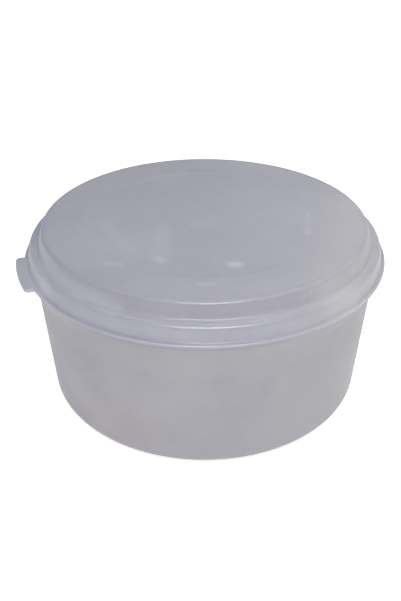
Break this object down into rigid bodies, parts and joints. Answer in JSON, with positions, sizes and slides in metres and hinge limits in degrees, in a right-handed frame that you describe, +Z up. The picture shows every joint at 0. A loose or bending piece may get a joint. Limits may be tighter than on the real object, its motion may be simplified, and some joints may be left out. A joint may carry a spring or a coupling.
{
  "type": "round food container",
  "caption": "Round tapered tub in milky translucent plastic with a press-fit lid, for keeping or carrying food; the lid lifts off by its tab.",
  "frame": {"origin": "centre of the tub's flat base, on the surface it stands on", "axes": "+Z up along the tub's axis, the way the lid lifts off; -X points to the lid's pull tab"},
  "size_m": [0.1227, 0.12, 0.0608],
  "materials": {
    "tub_plastic": "milky translucent polypropylene, soft gloss",
    "lid_plastic": "milky translucent polypropylene, soft gloss, faint scuffs"
  },
  "bodies": {
    "tub_body": {"tub": "tub_plastic"},
    "lid_body": {"lid": "lid_plastic"}
  },
  "joints": [
    {"name": "lid_lift", "type": "slide", "parent": "tub_body", "child": "lid_body", "axis": [0, 0, 1], "range_m": [0, 0.12]}
  ]
}
